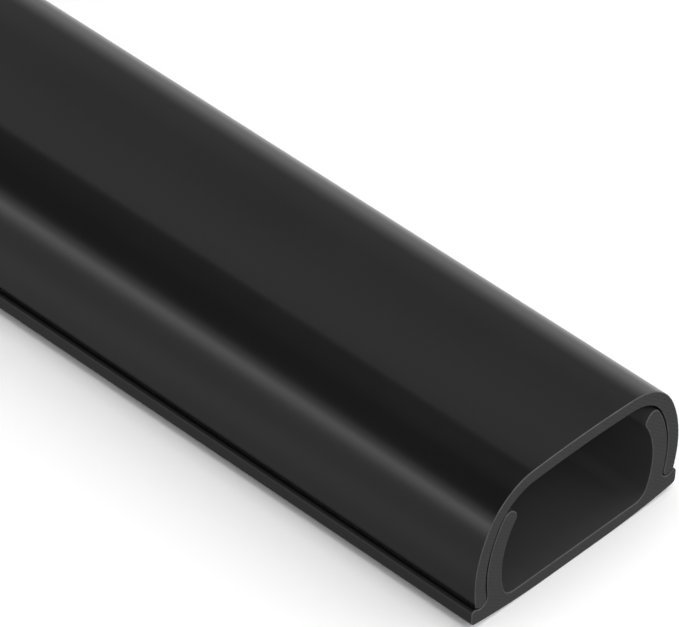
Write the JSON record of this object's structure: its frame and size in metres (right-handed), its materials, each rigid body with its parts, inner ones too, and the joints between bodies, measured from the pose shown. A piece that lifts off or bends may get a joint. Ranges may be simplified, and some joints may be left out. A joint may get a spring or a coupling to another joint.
{
  "type": "cord cover raceway",
  "caption": "Low D-shaped surface raceway: a channel base with two in-turned arms and a smooth cover that clips over them to hide cables.",
  "frame": {"origin": "middle of the flat band that the raceway rests on, half way along its length", "axes": "X across the raceway, Y along its length, +Z from the resting face up to the crown of the cover"},
  "size_m": [0.03, 0.4, 0.0165],
  "materials": {
    "black_plastic": "satin black rigid PVC, smooth as extruded, sawn ends a little duller and lighter"
  },
  "bodies": {
    "base": {"base": "black_plastic"},
    "cover": {"cover": "black_plastic"}
  },
  "joints": [
    {"name": "cover_slide", "type": "slide", "parent": "base", "child": "cover", "axis": [0, 1, 0], "range_m": [-0.4, 0.4]}
  ]
}
